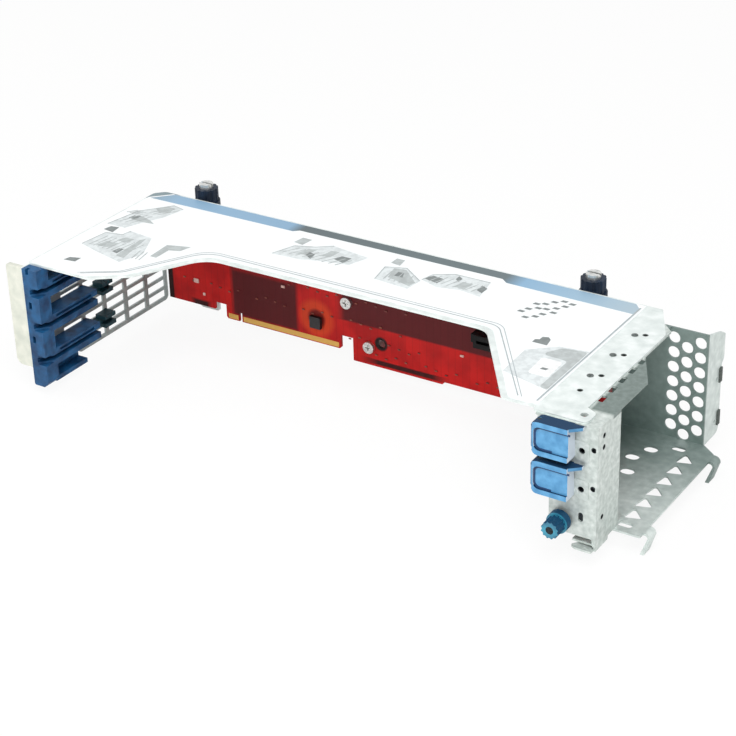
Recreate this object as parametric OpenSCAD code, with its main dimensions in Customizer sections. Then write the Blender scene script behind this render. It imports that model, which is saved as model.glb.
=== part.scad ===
// Riser cage bracket of a two-unit rack server. A folded steel cage hangs an upright riser
// board behind three stacked card slots, with card guides at the front end and a vented
// bracket bay with latches at the rear end.
//
// All places are measured from a datum: X = 0 at the plane of the card brackets, Y = 0 at the
// outer face of the near flange and Z = 0 at the upper face of the top plate. from_datum()
// then puts the origin under the middle of the cage, level with its lowest point.

/* [Sheet metal] */
// Thickness of every folded sheet
sheet_t = 1; // [0.8:0.1:1.5]
// Radius of the outline's plain corners
corner_r = 4; // [2:0.5:6]

/* [Top plate] */
// Length of the top plate, front to rear
plate_l = 331; // [315:1:350]
// Depth of the top plate, near to far
plate_d = 122.6; // [117:0.2:130]
// Depth of the cut-out between the two arms
cutout_d = 60; // [45:1:70]
// Width of the rear arm at its near edge
rear_arm_w = 39; // [34:1:46]
// Width of the front arm at its near edge
front_arm_w = 41; // [34:1:48]
// How far the inner side of each arm slants outwards
arm_slant = 34; // [20:1:42]
// Width of the bare strip at the rear end
strip_w = 21.5; // [19:0.5:26]
// Step of the front arm back from the near edge
front_step = 9; // [6:1:12]

/* [Back wall] */
// Height of the back wall
back_wall_h = 54; // [46:1:56]

/* [Front wall] */
// Height of the slotted front wall
front_wall_h = 68.6; // [66:0.2:72]
// Length of one window in the front wall
window_l = 15.4; // [12:0.2:18]
// Height of one window in the front wall
window_h = 4.6; // [3.5:0.1:5]
// Bar left between windows that are end to end
window_bar = 3; // [2:0.5:4]
// Step from one row of windows to the next
window_pitch = 6.6; // [6:0.1:7]
// Rows of windows
window_rows = 9; // [6:1:9]
// Width of the folded grip at the front end
grip_w = 12; // [9:0.5:16]
// Thickness of the folded grip
grip_t = 2.4; // [2:0.2:3]
// Height of the folded grip
grip_h = 60; // [50:1:62]
// Distance of the grip's near face from the datum
grip_y = 4; // [3:0.5:8]

/* [Label] */
// Thickness of the printed film
label_t = 0.2; // [0.1:0.05:0.4]
// Margin between the film and the plate's edge
label_margin = 3; // [2:0.25:5]
// Length of the film's cut corner at the front end
label_corner = 13; // [8:1:18]

/* [Card slots] */
// Distance from one slot to the next
slot_pitch = 20.32; // [20.3:0.01:20.4]
// Depth of the first card below the top plate
first_slot_z = 14.2; // [13:0.1:16]
// Thickness of a card
card_t = 1.57; // [1.4:0.01:1.8]

/* [Riser board] */
// Thickness of the board
board_t = 1.6; // [1.4:0.1:2]
// Gap between the board and the back wall
board_gap = 5; // [1.8:0.1:6]
// Distance of the board's rear end in front of the bracket plane
board_end = 38; // [32:1:44]
// Length of the board
board_l = 285; // [270:1:287]
// Gap between the board's upper edge and the top plate
board_top_gap = 2; // [1:0.5:4]
// Depth of the board's long rear part below the datum
board_low = 70.6; // [69:0.1:72]
// Depth of the board's short front part below the datum
board_front_low = 63; // [61:0.5:65]
// Width of the edge tongue
tongue_w = 79; // [70:1:84]
// Distance from the board's front end to the tongue
tongue_start = 41; // [34:1:43]
// Depth of the tongue below the datum
tongue_low = 67; // [65:0.5:69]
// Depth of the upper end of the two clearance notches below the datum
notch_top = 58.4; // [56:0.2:60]
// Width of the clearance notch on each side of the tongue
notch_w = 8; // [6:0.5:10]
// Width of the key slot in the tongue
key_w = 2; // [1.6:0.1:3]
// Distance from the tongue's front end to the key slot
key_in = 9; // [6:1:14]
// Height of the gold contacts
contact_h = 3; // [2.5:0.5:5.5]
// Thickness of the gold contacts
contact_t = 0.1; // [0.05:0.05:0.2]

/* [Slot connectors] */
// Height of a connector housing
socket_h = 7.6; // [7:0.1:9]
// Depth of a connector housing
socket_d = 11; // [9:0.5:12]
// Distance of each housing's rear end from the bracket plane
socket_in = 46; // [42:1:50]
// Length of the upper housing
socket_upper_l = 89; // [80:1:92]
// Length of the middle housing
socket_middle_l = 66; // [56:1:76]
// Length of the lower housing
socket_lower_l = 39; // [25:1:46]
// Depth of the card slot in a housing
socket_slot_d = 8; // [6:0.5:8.5]

/* [Board fasteners] */
// Radius of the board screw shank
board_screw_r = 1.5; // [1.25:0.05:1.75]
// Radius of the board screw head
board_head_r = 3.4; // [2.8:0.1:3.6]
// Height of the board screw head
board_head_h = 2; // [1.5:0.1:2.4]
// Outer radius of the standoffs
standoff_r = 3; // [2.6:0.1:3.4]

/* [Card guide] */
// Width of the guide moulding
guide_w = 10; // [8:0.5:12]
// Depth of the upright column of the guide
guide_column_d = 9; // [7:0.5:12]
// Depth of the column's tip below the datum
guide_low = 70.8; // [70:0.2:74]
// Height of one guide arm
guide_arm_h = 9.6; // [8:0.2:12]
// Length of one guide arm
guide_arm_l = 37; // [32:1:50]
// Length of the thin arm under the lowest groove
guide_thin_l = 26; // [20:1:40]
// Depth of the groove that takes the card
guide_groove_d = 6; // [4:0.5:6.5]
// Height of the groove that takes the card
guide_groove_h = 2.6; // [2.2:0.1:3.2]
// Length of the tongue that carries a snap block beyond the arm
guide_tongue_l = 8; // [3:1:12]
// Length of the snap block beyond the tongue
guide_snap_l = 9; // [6:1:14]

/* [Rear frame] */
// Distance of the post's outer face behind the bracket plane
post_x = 12.5; // [11.5:0.5:15]
// Width of the post
post_w = 23; // [18:1:26]
// How far the near flange reaches in front of the bracket plane
flange_front = 18.5; // [17:0.5:20]
// Depth of the near flange's wide part below the datum
flange_wide_low = 43; // [42:0.5:45]
// Depth of the frame's lower end below the datum
frame_low = 64; // [62:0.5:65]
// Depth of the near flange's lower edge below the datum
flange_low = 60; // [58:0.5:62]
// Depth of the foot below the datum
foot_low = 66; // [65:0.5:67]
// Reach of the shelf at the top of the rear frame
shelf_reach = 51; // [46:1:56]
// Radius of the tapped holes in the tab seats
seat_hole_r = 1.6; // [1.4:0.05:1.8]
// Distance of the tapped holes behind the bracket plane
seat_hole_x = 4.5; // [4:0.1:6.8]
// How far the latches sit above their card
latch_rise = 4.9; // [3:0.1:5.2]

/* [Vent panel] */
// Distance of the vent wall's near face from the datum
vent_y = 111; // [108:0.5:114]
// How far the vent wall reaches in front of the bracket plane
vent_front = 34; // [28:1:36]
// How far the vent wall reaches behind the bracket plane
vent_rear = 17; // [16.5:0.5:19]
// Diameter of the vent holes
vent_hole_d = 6.3; // [5:0.1:6.6]
// Distance between neighbouring vent holes
vent_pitch = 8.2; // [8:0.1:9]
// Rows of vent holes
vent_rows = 7; // [5:1:7]
// Columns of vent holes
vent_columns = 3; // [1:1:3]
// Depth of the folded return flange
return_d = 21.5; // [14:0.5:24]
// How far the floor reaches behind the bracket plane
floor_rear = 26; // [21:0.5:28]
// Distance of the floor's near edge from the datum
floor_near = 19; // [16:1:22]
// Width of one rear hook
hook_w = 7; // [5:0.5:9]
// Reach of one rear hook
hook_reach = 3.5; // [3:0.5:10]
// Drop of one rear hook below the floor
hook_drop = 11.5; // [9:0.5:13]

/* [Latches] */
// Height of one latch
latch_h = 17.2; // [14:0.2:18]
// Thickness of one latch
latch_t = 8; // [7:0.25:10]
// Length of one latch from its pin to its free end
latch_l = 16; // [13:0.5:17]
// Wall of the latch moulding
latch_wall = 1.6; // [1.2:0.1:2]
// Radius of the rounded pin end
latch_end_r = 4; // [3.4:0.1:4.4]
// Radius of the steel latch pin
latch_pin_r = 1; // [0.8:0.05:1.2]
// Reach of the nose that holds a bracket tab
nose_l = 5; // [2.5:0.1:6]

/* [Slot thumbscrew] */
// Diameter of the thumbscrew's grip
thumb_d = 11; // [10:0.5:14]
// Length of the thumbscrew's grip
thumb_l = 11; // [8:0.5:14]
// Radius of the thumbscrew's shank
thumb_shank_r = 2; // [1.5:0.1:2.4]
// Thickness of the thumbscrew's collar
thumb_collar_t = 1.2; // [0.8:0.1:1.6]

/* [Captive screws] */
// Diameter of the grip on each captive screw
captive_d = 15; // [13:0.5:16]
// Height of the grip on each captive screw
captive_h = 11; // [9:0.5:13]
// Height of the grip's upper face above the top plate
captive_rise = 4.5; // [1:0.5:9]
// Diameter of the steel cap on the grip
cap_d = 8; // [7:0.5:12.5]
// Height of the steel cap
cap_h = 2.6; // [2:0.2:6]
// Radius of the captive screw's shank
captive_shank_r = 2; // [1.6:0.1:2.4]
// Length of the spring as it stands
spring_l = 14; // [12:1:18]
// Thickness of the spring wire
spring_wire = 0.9; // [0.6:0.1:1.2]
// Turns of the spring
spring_turns = 5; // [3:1:6]
// Thickness of the washer under the grip
washer_t = 1; // [0.8:0.1:1.4]
// Distance of the captive screws behind the back wall's outer face
captive_out = 8.3; // [8:0.1:10]
// Depth of the screw points below the datum
captive_low = 66; // [62:0.5:68]
// Radius of the threaded end of each captive screw
captive_thread_r = 1.5; // [1.3:0.1:1.7]
// Length of the threaded end of each captive screw
captive_thread_l = 19; // [12:1:20]

/* [Fits] */
// Radial clearance of a shaft in its hole
running_fit = 0.08; // [0.04:0.01:0.1]
// Gap kept between parts that move past each other
play = 0.3; // [0.25:0.05:0.5]

/* [Hidden] */
$fn = 48;

arc_steps = 6; // straight steps in each rounded corner of an outline
cut = 0.5;     // how far a cutting shape runs past the face it cuts

// Places that several parts share
wall_y = plate_d - sheet_t;                  // near face of the back wall
front_x = -plate_l;                          // outer face of the front wall
grip_x = front_x - grip_w + sheet_t;         // outermost edge of the grip
board_y = wall_y - board_gap - board_t;      // near face of the board
board_x = -board_end - board_l;              // front end of the board
tongue_x = board_x + tongue_start;
floor_z = -frame_low - sheet_t;              // lower face of the floor
hook_z = floor_z - hook_drop;                // lowest point of the hooks
hook_x = floor_rear + hook_reach;            // rearmost point of the hooks
captive_y = plate_d + captive_out;
vent_far = vent_y + return_d;                // far edge of the return flange
thumb_y = -thumb_l - play - thumb_collar_t;   // outer face of the thumbscrew's grip
slot_z = [for (i = [0:2]) -first_slot_z - i * slot_pitch];
latch_z = [for (i = [0:1]) slot_z[i] + latch_rise];
captive_x = [-plate_l + 28, -56];            // left and right captive screws
rivet_r = 1.2;
rivet_head_r = 1.7;
rivet_head_h = 0.6;
bracket_w = 16;
grip_z = captive_rise - captive_h;           // underside of the captive grips
washer_z = grip_z - washer_t;
bracket_ear_z = [washer_z - spring_l, -42];  // upper faces of the two ears
bracket_rivet_z = [-28, -36];

// The frame's origin, seen from the datum
mid_x = (grip_x + hook_x) / 2;
mid_y = (thumb_y + max(vent_far, captive_y + captive_d / 2)) / 2;
module from_datum() translate([-mid_x, -mid_y, -hook_z]) children();

// An outline whose corners, given as [x, y, radius], are rounded with true tangent arcs
function turn(a, b) = atan2(cross(a, b), a * b);
function corner(p, q, r) =
    let (
        at = [q.x, q.y],
        u = (at - [p.x, p.y]) / norm(at - [p.x, p.y]),
        v = ([r.x, r.y] - at) / norm([r.x, r.y] - at),
        bend = turn(u, v),
        back = q[2] * tan(abs(bend) / 2),
        side = sign(bend) * [-u.y, u.x],
        centre = at - back * u + q[2] * side
    )
    q[2] == 0 ? [at]
    : [for (i = [0:arc_steps])
        let (a = bend * i / arc_steps)
        centre - q[2] * [side.x * cos(a) - side.y * sin(a), side.x * sin(a) + side.y * cos(a)]];
function rounded(pts) =
    let (n = len(pts))
    [for (i = [0:n - 1]) each corner(pts[(i + n - 1) % n], pts[i], pts[(i + 1) % n])];

// Plates drawn in a plane and given a thickness towards +Z, +Y or +X
module flat_xy(z, t) translate([0, 0, z]) linear_extrude(t) children();
module flat_xz(y, t) translate([0, y + t, 0]) rotate([90, 0, 0]) linear_extrude(t) children();
module flat_yz(x, t)
    translate([x, 0, 0]) rotate([90, 0, 90]) linear_extrude(t) children();
module slot2d(l, w) {
    square([l - w, w], center = true);
    for (s = [-1, 1]) translate([s * (l - w) / 2, 0]) circle(w / 2);
}
module hole_z(x, y, z, r) translate([x, y, z - sheet_t - cut]) cylinder(2 * sheet_t + 2 * cut, r = r);

// ---- Cage shell ----
far_chamfer = 13;        // along the far edge, at the rear end
far_chamfer_d = 25;      // along the rear edge
front_far_chamfer = 5;
grip_top = sheet_t;
// The U of the top plate, with its sides moved in by a margin
function plate_outline(inner, outer, rear_x) = rounded([
    [rear_x - (rear_x == 0 ? outer : 0), front_step / 2 + outer, 0],
    [rear_x - (rear_x == 0 ? outer : 0), plate_d - (rear_x == 0 ? far_chamfer_d : corner_r), corner_r],
    [rear_x - far_chamfer * (rear_x == 0 ? 1 : 0) - (rear_x == 0 ? outer : 0),
        plate_d - outer, 0],
    [-plate_l + front_far_chamfer + outer, plate_d - outer, corner_r],
    [-plate_l + outer, plate_d - front_far_chamfer - outer * 0.4, corner_r],
    [-plate_l + outer, front_step + outer, 2],
    [-plate_l + front_arm_w - inner, front_step + outer, 3],
    [-plate_l + front_arm_w + arm_slant * 0.55 - inner, front_step + 14, 8],
    [-plate_l + front_arm_w + arm_slant + 6 - inner * 0.6, cutout_d + inner, 16],
    [-rear_arm_w - arm_slant - 6 + inner * 0.6, cutout_d + inner, 10],
    [-rear_arm_w + inner, front_step / 3 + outer, 5],
]);
strip_hole_x = [-13, -8.5];
strip_hole_y = [for (i = [0:2]) 42 + i * 24];
strip_shift = 2.6;
strip_hole_r = 1.5;

module top_plate() difference() {
    flat_xy(-sheet_t, sheet_t) union() {
        polygon(plate_outline(0, 0, 0));
        // tongue over the near flange
        polygon(rounded([
            [-strip_w, sheet_t, 1], [6, sheet_t, 3], [6, 11, 3], [-2, 15, 0], [-strip_w, 15, 0],
        ]));
    }
    for (y = strip_hole_y) {
        hole_z(strip_hole_x[0], y, 0, rivet_r);
        hole_z(strip_hole_x[1], y + strip_shift, 0, strip_hole_r);
    }
    hole_z(-10.7, 27, 0, strip_hole_r);
    hole_z(1.6, 7.3, 0, 1.9);
}

wall_screws = [[-308, -10], [-255, -12], [-198, -37], [-184, -61], [-120, -24], [-75, -44.7]];
function wall_lug(x, w, low) = [
    [x, -back_wall_h, 0], [x, -low, 2], [x - w, -low, 2], [x - w, -back_wall_h, 0],
];
module back_wall() difference() {
    flat_xz(wall_y, sheet_t) polygon(rounded([
        [-plate_l + front_far_chamfer + corner_r, -sheet_t, 0],
        [-far_chamfer, -sheet_t, 0],
        [-far_chamfer, -back_wall_h, corner_r],
        each wall_lug(-178, 12, back_wall_h + 12),
        each wall_lug(-292, 14, board_front_low + 5),
        [-plate_l + front_far_chamfer + corner_r, -back_wall_h, corner_r],
    ]));
    for (s = wall_screws) translate([s.x, wall_y - cut, s.y]) rotate([-90, 0, 0])
        cylinder(sheet_t + 2 * cut, r = board_screw_r);
    for (x = captive_x, z = bracket_rivet_z) translate([x, wall_y - cut, z]) rotate([-90, 0, 0])
        cylinder(sheet_t + 2 * cut, r = rivet_r);
}

// Front wall: a sheet pierced by rows of long windows, with a hemmed grip folded outwards
module front_wall() {
    far = plate_d - 0.6;
    grip_low = grip_top + grip_h;
    columns = floor((far - grip_y - guide_column_d - 6) / (window_l + window_bar));
    difference() {
        flat_yz(front_x, sheet_t) polygon(rounded([
            [grip_y, -grip_top, 0], [front_step, -sheet_t, 0],
            [plate_d - front_far_chamfer, -sheet_t, 0], [far, -9, 2],
            [far, -front_wall_h, 3], [grip_y + 38, -front_wall_h, 3],
            [grip_y + 30, -grip_low, 3], [grip_y, -grip_low, 0],
        ]));
        for (i = [0:columns - 1], j = [0:window_rows - 1]) {
            y = far - 2.6 - (i + 1) * window_l - i * window_bar;
            z = -front_wall_h + 2.4 + j * window_pitch;
            if (z > -grip_low + 3 || y > grip_y + 40)
                translate([front_x - cut, y, z]) cube([sheet_t + 2 * cut, window_l, window_h]);
        }
    }
    flat_xz(grip_y, grip_t) polygon(rounded([
        [grip_x, -grip_top, 1.5], [front_x + sheet_t, -grip_top, 0],
        [front_x + sheet_t, -grip_low, 0], [grip_x, -grip_low, 4],
    ]));
}

module cage_shell() color("gainsboro") from_datum() union() {
    top_plate();
    back_wall();
    front_wall();
}

// ---- Label ----
module label() color("white") from_datum() difference() {
    flat_xy(0, label_t) polygon(plate_outline(label_margin, 1.2, -strip_w));
    flat_xy(-cut, label_t + 2 * cut) polygon([
        [front_x - cut, plate_d - label_corner], [front_x + label_corner, plate_d + cut],
        [front_x - cut, plate_d + cut],
    ]);
}

// ---- Rear frame ----
// One sheet: shelf under the strip, near flange with the tab seats, post and foot
shelf_far = vent_y - 1;
gap_l = 6;
gap_y = 26.3;
gap_pitch = 10.6;
gap_count = 5;
post_hole_y = 6;
post_hole_z = [-7, -13, -50];
side_hole_x = 10.4;
small_hole_r = 1.4;
shelf_far_in = 6;
module rear_shelf() difference() {
    flat_xy(-2 * sheet_t, sheet_t) polygon(rounded([
        [-strip_w + 2, 0, 0], [post_x, 0, 0], [post_x, shelf_reach, 2],
        [0, shelf_reach + 1.9 * post_x, 0], [0, shelf_far - shelf_far_in, 0],
        [-shelf_far_in, shelf_far, 0], [-strip_w + 2, shelf_far, 0],
    ]));
    for (y = strip_hole_y) {
        hole_z(strip_hole_x[0], y, -sheet_t, rivet_r);
        hole_z(strip_hole_x[1], y + strip_shift, -sheet_t, strip_hole_r);
    }
    hole_z(1.6, 7.3, -sheet_t, 1.9);
    hole_z(-10.7, 27, -sheet_t, strip_hole_r);
    for (i = [0:gap_count - 1])
        translate([-0.6, gap_y - gap_l / 2 + i * gap_pitch, -2 * sheet_t - cut])
            cube([3.2, gap_l, sheet_t + 2 * cut]);
}
thumb_x = -5;
thumb_z = -53;
module near_flange() difference() {
    flat_xz(0, sheet_t) polygon(rounded([
        [-flange_front, -sheet_t, 0], [post_x, -sheet_t, 0], [post_x, -frame_low, 0],
        [post_x - 2, -frame_low, 1], [post_x - 2, -flange_low, 1], [thumb_x - 7, -flange_low, 3],
        [thumb_x - 7, -flange_wide_low - 1, 0], [-flange_front, -flange_wide_low, 2],
    ]));
    for (i = [0:1]) translate([0, -cut, slot_z[i]]) rotate([-90, 0, 0]) {
        translate([seat_hole_x, 0, 0]) cylinder(sheet_t + 2 * cut, r = seat_hole_r);
        translate([side_hole_x, -1.6, 0]) cylinder(sheet_t + 2 * cut, r = small_hole_r);
    }
    flat_xz(-cut, sheet_t + 2 * cut) translate([seat_hole_x, -49.6]) rotate(90) slot2d(5, 2.6);
    translate([thumb_x, -cut, thumb_z]) rotate([-90, 0, 0])
        cylinder(sheet_t + 2 * cut, r = thumb_shank_r + running_fit);
}
module post() difference() {
    flat_yz(post_x - sheet_t, sheet_t) polygon(rounded([
        [0, -sheet_t, 0], [post_w, -sheet_t, 0], [post_w, -frame_low, 2], [13, -frame_low, 0],
        [13, -foot_low, 1], [0, -foot_low, 0],
    ]));
    for (z = post_hole_z) translate([post_x - sheet_t - cut, post_hole_y, z]) rotate([0, 90, 0])
        cylinder(sheet_t + 2 * cut, r = small_hole_r);
}
// The raised seat of each bracket tab is a shallow pad around its tapped hole
seat_rise = 0.4;
module tab_seat(z) difference() {
    flat_xz(-seat_rise, seat_rise) polygon(rounded([
        [-0.6, z + 5, 1.5], [8.2, z + 5, 1], [8.2, z - 5.4, 1], [3, z - 5.4, 2], [-0.6, z - 2, 1],
    ]));
    translate([seat_hole_x, -2 * seat_rise, z]) rotate([-90, 0, 0])
        cylinder(2 * seat_rise + cut, r = seat_hole_r);
}
// Ears carry the latch pins just inside each latch
ear_in = latch_wall + play;
latch_pin_x = -15;
latch_pin_y = -latch_end_r - 0.2;
module latch_ears(z) for (s = [-1, 1])
    translate([0, 0, z + s * (latch_h / 2 - ear_in - sheet_t / 2) - sheet_t / 2])
        difference() {
            union() {
                translate([latch_pin_x, latch_pin_y, 0]) cylinder(sheet_t, r = 2.1);
                translate([latch_pin_x - 2.1, latch_pin_y, 0])
                    cube([4.2, -latch_pin_y, sheet_t]);
            }
            translate([latch_pin_x, latch_pin_y, -cut]) cylinder(sheet_t + 1, r = latch_pin_r);
        }
module foot() flat_xy(-foot_low, sheet_t) polygon(rounded([
    [post_x - sheet_t, 13, 0], [post_x - sheet_t, -2.6, 0], [3, -2.6, 2], [-0.5, -1, 1.5],
    [5, 5, 4], [7, 13, 2],
]));
module floor_tab() difference() {
    flat_xy(-frame_low, sheet_t) polygon(rounded([
        [0, sheet_t, 0], [post_x - sheet_t, sheet_t, 0], [post_x - sheet_t, 32, 3], [0, 32, 3],
    ]));
    hole_z(6, 26, -frame_low + sheet_t, rivet_r);
}
module rear_frame() color("lightgray") from_datum() union() {
    rear_shelf();
    near_flange();
    post();
    foot();
    floor_tab();
    for (i = [0:1]) tab_seat(slot_z[i]);
    for (z = latch_z) latch_ears(z);
}

// ---- Vent panel ----
// One sheet: vent wall, return flange, floor with its openings and two hooks
vent_top = -2 * sheet_t;
module vent_wall() difference() {
    flat_xz(vent_y, sheet_t)
        polygon([[-vent_front, vent_top], [vent_rear, vent_top], [vent_rear, floor_z],
            [-vent_front, floor_z]]);
    for (i = [0:vent_columns - 1], j = [0:vent_rows - 1])
        translate([vent_rear - 4 - i * vent_pitch * sin(60), vent_y - cut,
                -7.5 - (j + (i == 1 ? 0.5 : 0)) * vent_pitch])
            rotate([-90, 0, 0]) cylinder(sheet_t + 2 * cut, r = vent_hole_d / 2);
}
pad_z = [-31.5, -56];
module return_flange() difference() {
    flat_yz(vent_rear - sheet_t, sheet_t) polygon(rounded([
        [vent_y, vent_top, 0], [vent_far - 5, vent_top - 5, 3], [vent_far, vent_top - 8, 2],
        [vent_far, -24, 3], [vent_far - 2.5, -26, 1], [vent_far - 2.5, floor_z, 4],
        [vent_y, floor_z, 0],
    ]));
    for (z = pad_z) translate([vent_rear - sheet_t - cut, vent_far - 8, z - small_hole_r])
        rotate([0, 90, 0]) cylinder(sheet_t + 2 * cut, r = small_hole_r);
}
vent_tab_front = 18;
module vent_tab() flat_xy(vent_top - sheet_t, sheet_t) polygon(rounded([
    [-vent_tab_front, vent_y + cut, 0], [-vent_tab_front, vent_y - 11, 3],
    [-3, vent_y - 11, 3], [-3, vent_y + cut, 0],
]));
row_x = 16;
row_y = 35;
row_count = 6;
row_pitch = 11.7;
opening_at = [[-5, 70, 6], [-9, 84, 6], [-4, 95, 6], [8, 102, 4], [15.5, 25.2, 3.6]];
module vent_floor() difference() {
    flat_xy(floor_z, sheet_t) polygon(rounded([
        [-vent_front, vent_y + sheet_t, 0], [-vent_front, 40, 4], [0, floor_near, 4],
        [floor_rear, floor_near, 1], [floor_rear, vent_y - 6, 3],
        [vent_rear, vent_y + sheet_t, 0],
    ]));
    for (i = [0:row_count - 1]) translate([row_x, row_y + i * row_pitch, floor_z - cut])
        linear_extrude(2 * sheet_t)
            polygon(rounded([[-4.6, -4.4, 1], [4.4, -1.6, 1], [-2.8, 6, 1]]));
    for (p = opening_at)
        translate([p.x, p.y, floor_z - cut]) linear_extrude(2 * sheet_t) slot2d(7.4, p[2]);
    hole_z(6, 26, floor_z + sheet_t, rivet_r);
}
// A hook is a strip that runs out of the floor, turns down and curls back
hook_r = 3;
module hook(y) flat_xz(y, hook_w) {
    translate([hook_x - hook_r, floor_z + sheet_t - hook_r]) difference() {
        intersection() {
            circle(hook_r);
            translate([0, -cut]) square(hook_r + cut);
        }
        circle(hook_r - sheet_t * 1.4);
    }
    translate([floor_rear - 1, floor_z + sheet_t - 1.4 * sheet_t])
        square([hook_x - hook_r - floor_rear + 1, 1.4 * sheet_t]);
    polygon([
        [hook_x - 1.4 * sheet_t, floor_z + sheet_t - hook_r],
        [hook_x, floor_z + sheet_t - hook_r], [hook_x - 3, hook_z], [hook_x - 5, hook_z],
    ]);
}
hook_y = [23, 98];
module vent_panel() color("slategray") from_datum() union() {
    vent_wall();
    vent_tab();
    return_flange();
    vent_floor();
    for (y = hook_y) hook(y);
}

// ---- Gasket pads ----
module gasket_pads() color("dimgray") from_datum()
    for (z = pad_z) translate([vent_rear, vent_far - 5.6, z - 4]) cube([0.8, 2.8, 8]);

// ---- Rivets ----
// A flush rivet: domed head above, plain shank through two sheets
module rivet_z(x, y, z, l) translate([x, y, z]) {
    translate([0, 0, -l]) cylinder(l, r = rivet_r);
    intersection() {
        cylinder(rivet_head_h, r = rivet_head_r);
        translate([0, 0, -3.6]) sphere(4.2);
    }
}
module rivets() color("silver") from_datum() {
    for (y = strip_hole_y) rivet_z(strip_hole_x[0], y, 0, 2 * sheet_t);
    rivet_z(6, 26, -frame_low + sheet_t, 2 * sheet_t);
    for (x = captive_x, z = bracket_rivet_z)
        translate([x, plate_d + sheet_t, z]) rotate([-90, 0, 0])
            rivet_z(0, 0, 0, 2 * sheet_t);
}

// ---- Riser board ----
board_rear = -board_end;
board_step_in = 98;  // from the rear end to the small step in the lower edge
module board_outline() polygon([
    [board_x, -sheet_t - board_top_gap], [board_rear, -sheet_t - board_top_gap],
    [board_rear, -board_low], [board_rear - board_step_in, -board_low],
    [board_rear - board_step_in - 1.6, -board_low - 1.6],
    [tongue_x + tongue_w + notch_w, -board_low - 1.6],
    [tongue_x + tongue_w + notch_w, -notch_top], [tongue_x + tongue_w, -notch_top],
    [tongue_x + tongue_w, -tongue_low + 1], [tongue_x + tongue_w - 1, -tongue_low],
    [tongue_x + 1, -tongue_low], [tongue_x, -tongue_low + 1],
    [tongue_x, -notch_top], [tongue_x - notch_w, -notch_top],
    [tongue_x - notch_w, -board_front_low], [board_x, -board_front_low],
]);
module riser_board() color("firebrick") from_datum() difference() {
    flat_xz(board_y, board_t) board_outline();
    translate([tongue_x + key_in, board_y - cut, -tongue_low - cut])
        cube([key_w, board_t + 2 * cut, 6]);
    for (s = wall_screws) translate([s.x, board_y - cut, s.y]) rotate([-90, 0, 0])
        cylinder(board_t + 2 * cut, r = board_screw_r);
    translate([-176.5, board_y - cut, -57.5]) rotate([-90, 0, 0])
        cylinder(board_t + 2 * cut, r = 2.6);
}

// Gold contacts on both faces of the tongue, split at the key slot
module edge_contacts() color("gold") from_datum()
    for (y = [board_y - contact_t, board_y + board_t],
            span = [[1.5, key_in - 1], [key_in + key_w + 1, tongue_w - 1.5]])
        translate([tongue_x + span[0], y, -tongue_low + 0.6])
            cube([span[1] - span[0], contact_t, contact_h]);

// ---- Slot connectors ----
module socket(z, l) color("dimgray") from_datum() difference() {
    union() {
        translate([-socket_in - l, board_y - socket_d, z - socket_h / 2])
            cube([l, socket_d, socket_h]);
        // latch horn at the front end
        translate([-socket_in - l - 3, board_y - socket_d + 3, z - socket_h / 2 + 1.4])
            cube([3, socket_d - 3, socket_h - 2.8]);
    }
    translate([-socket_in - l + 2, board_y - socket_d - cut, z - card_t / 2 - 0.1])
        cube([l - 15.5, socket_slot_d + cut, card_t + 0.2]);
    translate([-socket_in - 12, board_y - socket_d - cut, z - card_t / 2 - 0.1])
        cube([10, socket_slot_d + cut, card_t + 0.2]);
}
module socket_upper() socket(slot_z[0], socket_upper_l);
module socket_middle() socket(slot_z[1], socket_middle_l);
module socket_lower() socket(slot_z[2], socket_lower_l);

// ---- Parts on the board ----
module board_chips() color("black") from_datum()
    for (c = [[-219, -54, 7, 7, 2.2], [-281, -14, 16, 16, 2], [-180, -14, 8, 6, 1.6]])
        translate([c.x - c[2] / 2, board_y - c[4], c.y - c[3] / 2])
            cube([c[2], c[4], c[3]]);
module board_capacitors() color("silver") from_datum()
    for (c = [[-310, -24], [-302, -24], [-230, -20], [-222, -20],
            [-socket_in - socket_upper_l - 21, -14], [-socket_in - socket_upper_l - 13, -14]])
        translate([c.x, board_y, c.y]) rotate([90, 0, 0]) {
            cylinder(5.4, r = 3);
            translate([-3.4, -3.4, 0]) cube([6.8, 6.8, 0.8]);
        }
module board_screws() color("whitesmoke") from_datum()
    for (s = wall_screws) translate([s.x, board_y, s.y]) rotate([-90, 0, 0]) {
        cylinder(board_t + board_gap + sheet_t + 1.5, r = board_screw_r);
        translate([0, 0, -board_head_h]) difference() {
            cylinder(board_head_h, r = board_head_r);
            for (a = [0, 90]) rotate(a) translate([-1.8, -0.4, -cut]) cube([3.6, 0.8, 1.2 + cut]);
        }
    }
module board_standoffs() color("silver") from_datum()
    for (s = wall_screws) translate([s.x, board_y + board_t, s.y]) rotate([-90, 0, 0])
        difference() {
            cylinder(board_gap, r = standoff_r);
            translate([0, 0, -cut]) cylinder(board_gap + 2 * cut, r = board_screw_r);
        }

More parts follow.
